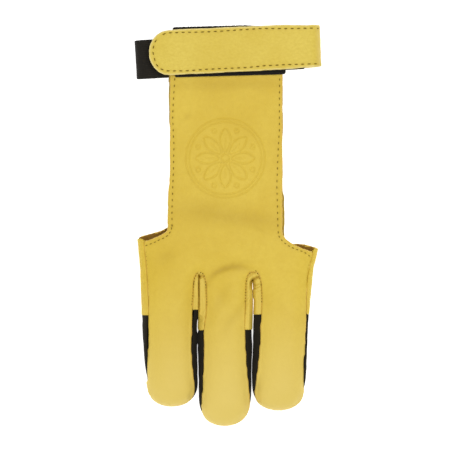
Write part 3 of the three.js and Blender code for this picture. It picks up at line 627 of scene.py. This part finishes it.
# the lining shows beside the tongue near the hand at the right and below the strap at the left, in mm
liningShows = [{"side": 1, "from": -12, "to": 20, "out": 0.2, "drop": 2.2},
               {"side": 1, "from": 14, "to": 48, "out": -0.6, "drop": 0},
               {"side": -1, "from": 50, "to": 80, "out": 0.3, "drop": 0}]
liningEdge = {"fadeIn": 4, "fadeOut": 5, "across": (18, 26), "dropOver": (-6, 4)}
places = readPlaces(tongueLining.data)
for edge in liningShows:
    y = places[:, 1] / mm
    share = softStep(y, edge["from"], edge["from"] + liningEdge["fadeIn"])
    share *= 1 - softStep(y, edge["to"] - liningEdge["fadeOut"], edge["to"])
    share *= softStep(edge["side"] * places[:, 0] / mm, *liningEdge["across"])
    places[:, 0] += edge["side"] * edge["out"] * mm * share
    places[:, 1] -= edge["drop"] * mm * share * (1 - softStep(y, *liningEdge["dropOver"]))
writePlaces(tongueLining.data, places)
tongueLining.data.materials.append(liningLeather)
palmLeather = softCopy("palm_panel", "palmLeather", 0.6, easing=24, rounding=8, evenRim=14)
roundTips(palmLeather)
# the palm's two corners at the mouth reach out to the side walls' tops, in mm
palmCorners = [{"x": -42.5, "y": -6, "long": 5.5, "out": -4.2, "up": -0.9},
               {"x": 43.3, "y": -13.2, "long": 4.5, "out": 3.2, "up": 0.4},
               {"x": 38.5, "y": -10.5, "long": 5.5, "out": 0, "up": 0.8}]
places = readPlaces(palmLeather.data)
for corner in palmCorners:
    away = np.hypot(places[:, 0] / mm - corner["x"], places[:, 1] / mm - corner["y"])
    share = np.exp(-(away / corner["long"]) ** 2)
    places[:, 0] += corner["out"] * mm * share
    places[:, 1] += corner["up"] * mm * share
writePlaces(palmLeather.data, places)
palmLeather.data.materials.append(gloveLeather)
sideWith(palmLeather, fleshSide, 1)

sideWalls = [
    {"node": "side_strip_left", "piece": "sideWallLeft", "flat": (0.0105, 0.0395), "area": 0.00038},
    {"node": "side_strip_right", "piece": "sideWallRight", "flat": (0.0105, 0.0325), "area": 0.00024},
    {"node": "fourchette_left", "piece": "crotchStripLeft", "flat": (0.0105, 0.054), "area": 0.0005},
    {"node": "fourchette_right", "piece": "crotchStripRight", "flat": (0.0115, 0.056), "area": 0.00058},
]
walls = []
for wall in sideWalls:
    piece = softCopy(wall["node"], wall["piece"], 0.32, easing=8, rounding=6, swell=(0.42, 0.16))
    mark(piece, "cut", np.zeros(len(piece.data.vertices)))
    piece.data.materials.append(gloveLeather)
    walls.append(piece)
crotchLeft, crotchRight = walls[2:]
# the crotches: where the strips are rolled, tucked, gathered and creased, lines in mm; dark paints shade
# along the grooves, and a negative dark paints light
crotchFolds = {
    "crotchStripLeft": [
        {"line": [(-15, -24), (-15.1, -29), (-15.1, -37), (-15, -46)], "deep": -2.5, "wide": 1.35, "dark": 0,
         "fade": 0.2},
        {"line": [(-17, -28), (-17.3, -33), (-17.4, -42)], "deep": -0.5, "wide": 0.8, "dark": 0, "fade": 0.3},
        {"line": [(-13.1, -27.5), (-12.9, -34), (-12.9, -50)], "deep": -0.6, "wide": 0.9, "dark": 0,
         "fade": 0.3},
        {"line": [(-15, -25.4), (-15.1, -29), (-15.1, -37), (-15, -44.5)], "deep": 1.9, "wide": 0.34,
         "dark": 0.3, "fade": 0.25},
        {"line": [(-15.2, -26.4), (-14.5, -27)], "deep": 1.6, "wide": 0.7, "dark": 0.9, "fade": 0.2},
        {"line": [(-14.9, -26.5), (-13.6, -26.1), (-12.2, -26.9)], "deep": 0.9, "wide": 0.4, "dark": 0.6,
         "fade": 0.2},
        {"line": [(-14.4, -24.9), (-13, -24.8)], "deep": -0.7, "wide": 0.8, "dark": -0.1, "fade": 0.2},
        {"line": [(-13.6, -45.5), (-11.2, -43.2)], "deep": 0.3, "wide": 0.5, "dark": 0.15},
        {"line": [(-13.8, -49), (-11.2, -46.6)], "deep": 0.3, "wide": 0.5, "dark": 0.15},
    ],
    "crotchStripRight": [
        {"line": [(11.2, -54), (11.1, -36), (10.8, -30), (11.4, -27.6), (13, -26.1), (15, -25.3)],
         "deep": -1.5, "wide": 1.15,
         "dark": 0, "fade": 0.2},
        {"line": [(14.7, -50), (14.6, -38), (14.6, -30)], "deep": -1.6, "wide": 1.3, "dark": 0, "fade": 0.2},
        {"line": [(12, -31.2), (12.2, -29.3), (13.3, -28), (15, -27), (16.4, -27)], "deep": 1.7, "wide": 0.42,
         "dark": 0.85, "fade": 0.2},
        {"line": [(12.8, -31.3), (16.8, -30.5)], "deep": 0.7, "wide": 0.36, "dark": 0.4},
        {"line": [(12.9, -33.1), (16.9, -32)], "deep": 0.6, "wide": 0.36, "dark": 0.35},
        {"line": [(13.2, -35), (16.8, -34.4)], "deep": 0.35, "wide": 0.4, "dark": 0.15},
        {"line": [(9, -38.5), (11.6, -37.4)], "deep": 0.25, "wide": 0.5, "dark": 0.15},
        {"line": [(9, -41.5), (11.6, -40.2)], "deep": 0.2, "wide": 0.5, "dark": 0.12},
    ],
}
# where the strips' tops have no deep fold, in mm
crotchFills = {"crotchStripLeft": [{"x": -15, "half": 1.6, "from": -26, "level": 9.2}],
               "crotchStripRight": [{"x": 12.6, "half": 2.2, "from": -28.6, "level": 9.8}]}
# where the two rolls of the right crotch lean on each other, in mm
leaning = [{"x": 13.1, "reach": 1.3, "from": -60, "to": -37, "share": 0.5},
           {"x": 12.8, "reach": 1.6, "from": -38.5, "to": -32.8, "share": 0.97}]
wallRule = {"under": (3, 6), "rise": 6, "leanFade": 1, "fillFloor": 4, "fillShare": 0.88, "fillFade": 1}
# their tops run on under the back of the hand, so no gap shows there
crotchTops = {"crotchStripLeft": {"from": -30, "to": -26.2, "further": 2.2, "under": 0.9},
              "crotchStripRight": {"from": -30.5, "to": -26, "further": 1.8, "under": 0.6}}
# the outer corners of the side walls rise where the mouth slants
wallTops = {"sideWallLeft": {"side": -1, "from": -17, "outer": (42.5, 46), "further": 0.9},
            "sideWallRight": {"side": 1, "from": -20, "outer": (43, 46), "further": 1.5}}
gather = {"spacing": 1.7, "deep": 0.1}
for piece in walls:
    name = piece.name
    places = readPlaces(piece.data)
    if name in crotchTops:
        top = crotchTops[name]
        share = softStep(places[:, 1] / mm, top["from"], top["to"])
        places[:, 1] += top["further"] * mm * share
        places[:, 2] -= top["under"] * mm * share * softStep(places[:, 2] / mm, *wallRule["under"])
        writePlaces(piece.data, places)
    if name in wallTops:
        top = wallTops[name]
        share = softStep(places[:, 1] / mm, top["from"], top["from"] + wallRule["rise"])
        share *= softStep(top["side"] * places[:, 0] / mm, *top["outer"])
        places[:, 1] += top["further"] * mm * share
        writePlaces(piece.data, places)
    if name == "crotchStripRight":
        for lean in leaning:
            off = places[:, 0] / mm - lean["x"]
            along = softStep(places[:, 1] / mm, lean["from"], lean["from"] + wallRule["leanFade"])
            along *= 1 - softStep(places[:, 1] / mm, lean["to"] - wallRule["leanFade"], lean["to"])
            places[:, 0] -= off * mm * lean["share"] * along * np.exp(-(off / lean["reach"]) ** 4)
        writePlaces(piece.data, places)
    for fill in crotchFills.get(name, []):
        x, y, z = (places / mm).T
        inside = (np.abs(x - fill["x"]) < fill["half"]) & (y > fill["from"])
        inside &= (z > wallRule["fillFloor"]) & (z < fill["level"])
        rise = wallRule["fillShare"] * (fill["level"] - z)
        rise *= softStep(y, fill["from"], fill["from"] + wallRule["fillFade"])
        places[inside, 2] += rise[inside] * mm
        writePlaces(piece.data, places)
    folds = crotchFolds.get(name, [])
    ripple = np.array([noise.noise(Vector((0, place[1] / (gather["spacing"] * mm), 7))) for place in places])
    lower(piece, lineFolds(places, folds, "deep"), above=0.0)
    lower(piece, gather["deep"] * ripple, above=0.0)
    # painted shade along the crotch grooves
    shades[name] = lineFolds(places, folds, "dark")

gussets = [
    {"node": "gusset_left_outer", "piece": "gussetLeftOuter", "flat": (0.0105, 0.0265), "area": 0.000215,
     "outward": -1, "taper": 10, "further": 9,
     "stall": "left", "close": 0.75, "bulges": [(-80, -50, 0.6)]},
    {"node": "gusset_left_inner", "piece": "gussetLeftInner", "flat": (0.0105, 0.042), "area": 0.00037,
     "outward": 1, "taper": 9, "further": 5.5,
     "stall": "left", "close": 0.8, "bulges": [(-49.5, -41, 0.8), (-62, -55, 0.5)]},
    {"node": "gusset_middle_left", "piece": "gussetMiddleLeft", "flat": (0.0105, 0.0395), "area": 0.00034,
     "outward": -1, "taper": 11, "further": 6,
     "stall": "middle", "close": 0.8, "bulges": [(-62, -55, 0.5)]},
    {"node": "gusset_middle_right", "piece": "gussetMiddleRight", "flat": (0.0105, 0.035), "area": 0.0003,
     "outward": 1, "taper": 12, "further": 8,
     "stall": "middle", "close": 0.8, "bulges": []},
    {"node": "gusset_right_inner", "piece": "gussetRightInner", "flat": (0.0105, 0.04), "area": 0.0004,
     "outward": -1, "taper": 9, "further": 5,
     "stall": "right", "close": 0.8, "bulges": []},
    {"node": "gusset_right_outer", "piece": "gussetRightOuter", "flat": (0.01, 0.037), "area": 0.00021,
     "outward": 1, "taper": 9, "further": 4,
     "stall": "right", "close": 0.8, "bulges": []},
]
# how a strip ends at its tip: tucked in behind the leather and thinner, in mm and shares
stripEnd = {"tuck": 0.7, "thin": 0.5, "row": 0.8, "top": -50, "window": 5, "outerHalf": (0.3, 1.6)}


def stallEdge(name, outward, heights):
    # how far out the back leather of a stall reaches at each height, smoothed
    low, high = stallSpans[name]
    skin = readPlaces(backLeather.data)
    top, window = stripEnd["top"] * mm, stripEnd["window"]
    skin = skin[(skin[:, 0] > low * mm) & (skin[:, 0] < high * mm) & (skin[:, 1] < top)]
    steps = np.arange(skin[:, 1].min(), top, stripEnd["row"] * mm)
    rows = np.clip(np.searchsorted(steps, skin[:, 1]) - 1, 0, len(steps) - 1)
    reach = np.full(len(steps), -np.inf)
    np.maximum.at(reach, rows, skin[:, 0] * outward)
    known = np.isfinite(reach)
    padded = np.pad(np.interp(steps, steps[known], reach[known]), window // 2, "edge")
    reach = sum(padded[i:i + len(reach)] for i in range(window)) / window
    return np.interp(heights, steps, reach)


def bendStrip(piece, gusset):
    # towards the tip the strip runs on, bends in with the stall and closes in on its seam; a bulge
    # leans outwards
    outward = gusset["outward"]
    places = readPlaces(piece.data)
    rows = np.floor((places[:, 1] - places[:, 1].min()) / (stripEnd["row"] * mm)).astype(int)
    inner = np.full(rows.max() + 1, np.inf)
    np.minimum.at(inner, rows, places[:, 0] * outward)
    off = places[:, 0] * outward - inner[rows]
    for low, high, out in gusset["bulges"]:
        along = np.clip((places[:, 1] / mm - low) / (high - low), 0, 1)
        leaned = outward * out * mm * np.sin(np.pi * along) ** 0.7
        places[:, 0] += leaned * softStep(off / mm, *stripEnd["outerHalf"])
    share = 1 - softStep(places[:, 1] - places[:, 1].min(), 0, gusset["taper"] * mm)
    places[:, 1] -= gusset["further"] * mm * share
    edge = stallEdge(gusset["stall"], outward, places[:, 1])
    slim = off * (1 - gusset["close"] * share ** 1.5) - stripEnd["tuck"] * mm
    places[:, 0] += share * (outward * (edge + slim) - places[:, 0])
    places[:, 2] -= stripEnd["thin"] * share ** 2 * (places[:, 2] - places[:, 2].min())
    writePlaces(piece.data, places)


for gusset in gussets:
    piece = softCopy(gusset["node"], gusset["piece"], 0.4, easing=6, rounding=5, swell=(0.2, 0.16))
    bendStrip(piece, gusset)
    piece.data.materials.append(stretchKnit)
    gusset["object"] = piece

print("glove: wrist closure")
tapeRelief = {"ribSpacing": 1.15, "ribHeight": 0.09, "elasticTurn": 0.06, "fluff": 0.16, "fluffSize": 0.55,
              "margin": 0.5, "fray": 0.4, "fraySize": 0.7, "marginY": (99, 102), "marginX": (8, 16),
              "cornerX": (-29, -24), "flat": (0.6, 0.95)}


def flatness(normals):
    # 1 on the broad faces of a tape, 0 on its edges, which stay straight
    return softStep(np.abs(normals[:, 2]), *tapeRelief["flat"])


loopPatch = softCopy("loop_patch", "loopPatch", 0.42, easing=4, rounding=3, cutByHand=False)
places, normals = readPlaces(loopPatch.data), readNormals(loopPatch.data)
fluff = np.array([noise.noise(Vector(place) / (tapeRelief["fluffSize"] * mm)) for place in places])
places += normals * (fluff * tapeRelief["fluff"] * mm * flatness(normals))[:, None]
# its upper margin is frayed and looks out above the strap
fraySize = tapeRelief["fraySize"] * mm
frayed = np.array([noise.noise(Vector((place[0] / fraySize, 3, 0))) for place in places])
margin = softStep(places[:, 1] / mm, *tapeRelief["marginY"])
margin *= 1 - softStep(places[:, 0] / mm, *tapeRelief["marginX"])
places[:, 1] += (tapeRelief["margin"] + tapeRelief["fray"] * frayed) * mm * margin
inwards = tapeRelief["margin"] * mm * margin
places[:, 0] -= inwards * (1 - softStep(places[:, 0] / mm, *tapeRelief["cornerX"]))
writePlaces(loopPatch.data, places)
loopPatch.data.materials.append(loopTape)
hookStrip = softCopy("hook_tape", "hookStrip", 0.42, easing=4, rounding=3, cutByHand=False)
hookStrip.data.materials.append(hookTape)
wristStrap = softCopy("wrist_strap", "wristStrap", 0.5, easing=20, rounding=5)
wristStrap.data.materials.append(strapLeather)
elasticBand = softCopy("elastic_band", "elasticBand", 0.4, easing=20, rounding=3, cutByHand=False)
places, normals = readPlaces(elasticBand.data), readNormals(elasticBand.data)
turn = tapeRelief["elasticTurn"]
across = places[:, 1] * math.cos(turn) - places[:, 0] * math.sin(turn)
ribs = np.cos(2 * math.pi * across / (tapeRelief["ribSpacing"] * mm))
places += normals * (ribs * tapeRelief["ribHeight"] * mm * flatness(normals))[:, None]
writePlaces(elasticBand.data, places)
elasticBand.data.materials.append(wovenElastic)

# stitches: drawn lines in mm, seen from above, each with its spacing and the size of a stitch
stitchRows = [
    {"name": "tongueStitches", "on": ["backLeather"], "slot": "leather", "spacing": 3.3, "long": 1.4,
     "wide": 0.46, "proud": 0.04, "lines": [
        [(-27.6, 77.5), (-28.3, 66), (-28.8, 57), (-28.1, 41.5), (-28.5, 25.6), (-29.1, 9.2), (-29.1, 0)],
        [(26.9, 77.5), (26.7, 64), (26.7, 50.2), (26.1, 39.8), (25.7, 29.9), (25.4, 20), (25.7, 10.5),
         (25.9, -1)]]},
    {"name": "mouthStitches", "on": ["backLeather"], "slot": "leather", "spacing": 2.35, "long": 1.4,
     "wide": 0.42, "proud": 0.04, "lines": [
        [(-29.1, -0.4), (-29.7, -2.9), (-30.8, -4.6), (-32.2, -5.9), (-34.4, -7), (-36.5, -7.8),
         (-38.4, -8.9),
         (-40.5, -9.7), (-42.5, -10.4)],
        [(26, -2.4), (26.2, -5.1), (27.1, -6.8), (28.6, -8.4), (30.4, -9.9), (32.2, -11), (34.6, -12.1),
         (36.9, -12.9),
         (39.2, -13.6), (40.7, -14.6), (42.2, -15.7)]]},
    {"name": "strapStitches", "on": ["wristStrap"], "slot": "strap_leather", "spacing": 3.33, "long": 1.75,
     "wide": 0.52, "proud": 0.12, "lines": [
        [(-34.7, 98.7), (-31.7, 99.9), (-21.8, 100.2), (-11.8, 100.4), (-2, 100.9), (7.8, 101.6),
         (17.7, 102.2), (31.1, 102.1),
         (44.4, 102.4), (46.8, 102.4)],
        [(-36.6, 97), (-37.9, 95.3), (-39.2, 91), (-38.4, 87.3), (-37.2, 83.5), (-35, 81.3), (-32.4, 80.2),
         (-21.8, 80.2),
         (-11.5, 81), (-1.1, 81.5), (9.4, 81.9), (19.5, 82.9), (29.5, 83.4), (39.6, 83.7), (46.8, 84)]]},
    {"name": "crotchStitches", "on": ["backLeather", "crotchStripLeft", "crotchStripRight"],
     "slot": "leather", "spacing": 1.5,
     "long": 0.95, "wide": 0.4, "proud": 0.08, "lines": [
        [(-15.6, -24.3), (-16.3, -25.2), (-17, -26.4), (-17.5, -28), (-17.8, -30), (-18, -32), (-18.2, -35),
         (-18.5, -38), (-18.8, -42)],
        [(-14.9, -24.8), (-13.8, -24.3), (-12.8, -25.4), (-12.1, -27), (-11.8, -29), (-11.5, -32),
         (-11.2, -36), (-11, -42)],
        [(14, -23.2), (15.2, -24.6), (16.3, -26.4), (16.9, -28.4), (17.3, -31), (17.6, -35), (17.6, -40)],
        [(11.9, -24.4), (10.7, -25.4), (9.9, -27), (9.4, -30), (9.2, -34), (8.9, -40)]]},
    {"name": "armStitches", "on": ["backLeather"], "slot": "leather", "spacing": 2.1, "long": 0.6,
     "wide": 0.26, "proud": 0, "lines": [
        [(-42.7, -13), (-42.2, -22), (-41.5, -31), (-41.4, -41), (-41.6, -46)],
        [(43.2, -17.5), (41.8, -22), (41.3, -31), (41, -41), (40.9, -46)]]},
]
leatherPieces = {piece.name: piece for piece in (backLeather, wristStrap, *walls)}
# painted shade: the strap's colour darkens towards its folded end, where the fold turns away from the light
strapFold = {"dark": 0.2, "x": (43, 48.5)}
shades["wristStrap"] = strapFold["dark"] * softStep(readPlaces(wristStrap.data)[:, 0] / mm, *strapFold["x"])
# how a stitch sits, in mm and shares: only above the lowest height, and leaning less than the leather; dark
# and rowDark paint shade into the dimples and along the row
dimple = {"deep": 0.2, "dark": 0.22, "reach": 0.5, "rowDeep": 0.1, "rowDark": 0.06, "rowReach": 1.1,
          "lengthwise": 0.6, "lowest": 4, "upright": 0.6, "lookFrom": 100}


def alongLine(line, spacing):
    # even places on a drawn line, each with its direction
    spots, left = [], spacing / 2
    for (x0, y0), (x1, y1) in zip(line, line[1:]):
        length = math.hypot(x1 - x0, y1 - y0)
        while left < length:
            share = left / length
            spots.append((x0 + (x1 - x0) * share, y0 + (y1 - y0) * share,
                          Vector((x1 - x0, y1 - y0, 0)) / length))
            left += spacing
        left -= length
    return spots


def topmost(trees, x, y):
    # where a line straight down first meets one of the pieces, x and y in mm
    eye = Vector((x * mm, y * mm, dimple["lookFrom"] * mm))
    hits = [tree.ray_cast(eye, Vector((0, 0, -1))) for tree in trees]
    hits = [hit for hit in hits if hit[0] is not None]
    return max(hits, key=lambda hit: hit[0].z) if hits else None


print("glove: stitches")
stitchCount = 0
for row in stitchRows:
    sewn = [leatherPieces[name] for name in row["on"]]
    trees = [BVHTree.FromPolygons([v.co for v in piece.data.vertices],
                                  [p.vertices for p in piece.data.polygons]) for piece in sewn]
    found = []
    for line in row["lines"]:
        for x, y, along in alongLine(line, row["spacing"]):
            hit = topmost(trees, x, y)
            if hit and hit[0].z > dimple["lowest"] * mm:
                normal = (hit[1] + Vector((0, 0, dimple["upright"]))).normalized()
                found.append((hit[0], normal, (along - normal * along.dot(normal)).normalized()))
    for piece in sewn:
        # the thread pulls the leather down along the row, and most under each stitch; the colour is darkened
        # there too, as painted shade
        places = readPlaces(piece.data)
        press = np.zeros(len(places))
        for line in row["lines"]:
            pull = np.exp(-(lineField(places, line)[0] / dimple["rowReach"]) ** 2)
            press += dimple["rowDeep"] * pull
            shades[piece.name] += dimple["rowDark"] * pull
        tree = pointTree(places)
        for spot, normal, along in found:
            for place, index, distance in tree.find_range(spot, row["long"] * mm):
                lengthwise = (place - spot).dot(along)
                crosswise = math.sqrt(max(distance ** 2 - lengthwise ** 2, 0))
                share = math.exp(-(lengthwise / (dimple["lengthwise"] * row["long"] * mm)) ** 4
                                 - (crosswise / (dimple["reach"] * mm)) ** 2)
                press[index] += dimple["deep"] * share
                shades[piece.name][index] += dimple["dark"] * share
        lower(piece, press, above=0.0)
    thread = bmesh.new()
    for spot, normal, along in found:
        turned = Matrix((along, normal.cross(along), normal)).transposed().to_4x4()
        sunk = spot - normal * (dimple["deep"] + dimple["rowDeep"] - row["proud"]) * mm
        size = Matrix.Diagonal((row["long"] / 2 * mm, row["wide"] / 2 * mm, row["wide"] / 2 * mm, 1))
        lying = Matrix.Rotation(math.pi / 2, 4, "Y")
        bmesh.ops.create_uvsphere(thread, u_segments=8, v_segments=6, radius=1,
                                  matrix=Matrix.Translation(sunk) @ turned @ size @ lying)
    for face in thread.faces:
        face.smooth = True
    threadMesh = bpy.data.meshes.new(row["name"])
    thread.to_mesh(threadMesh)
    thread.free()
    threadMesh.materials.append(sewingThread)
    threadPiece = bpy.data.objects.new(row["name"], threadMesh)
    bpy.context.scene.collection.objects.link(threadPiece)
    finishPiece(threadPiece, [])
    stitchCount += len(found)
print("glove:", stitchCount, "stitches sewn")

# painted light: the colour is paler towards the stall tips and on the tops of the crotch rolls, in mm and
# shares
paintedLightRule = {"tips": (22, 105), "rolled": 0.35, "rollTop": (4, 8)}
for name, piece in leatherPieces.items():
    mark(piece, "shade", shades[name])
for piece in (backLeather, palmLeather, *walls):
    mark(piece, "paintedLight", softStep(-readPlaces(piece.data)[:, 1] / mm, *paintedLightRule["tips"]))
for piece in (crotchLeft, crotchRight):
    mark(piece, "paintedLight",
         paintedLightRule["rolled"] * softStep(readPlaces(piece.data)[:, 2] / mm, *paintedLightRule["rollTop"]))
finishPiece(backLeather, ["back_panel"])
finishPiece(tongueLining, ["tongue_lining"])
finishPiece(palmLeather, ["palm_panel"])
for wall, piece in zip(sideWalls, walls):
    finishPiece(piece, [wall["node"]])
for gusset in gussets:
    finishPiece(gusset["object"], [gusset["node"]])
finishPiece(loopPatch, ["loop_patch"])
finishPiece(hookStrip, ["hook_tape"])
finishPiece(wristStrap, ["wrist_strap"])
finishPiece(elasticBand, ["elastic_band"])

print("glove: finished")
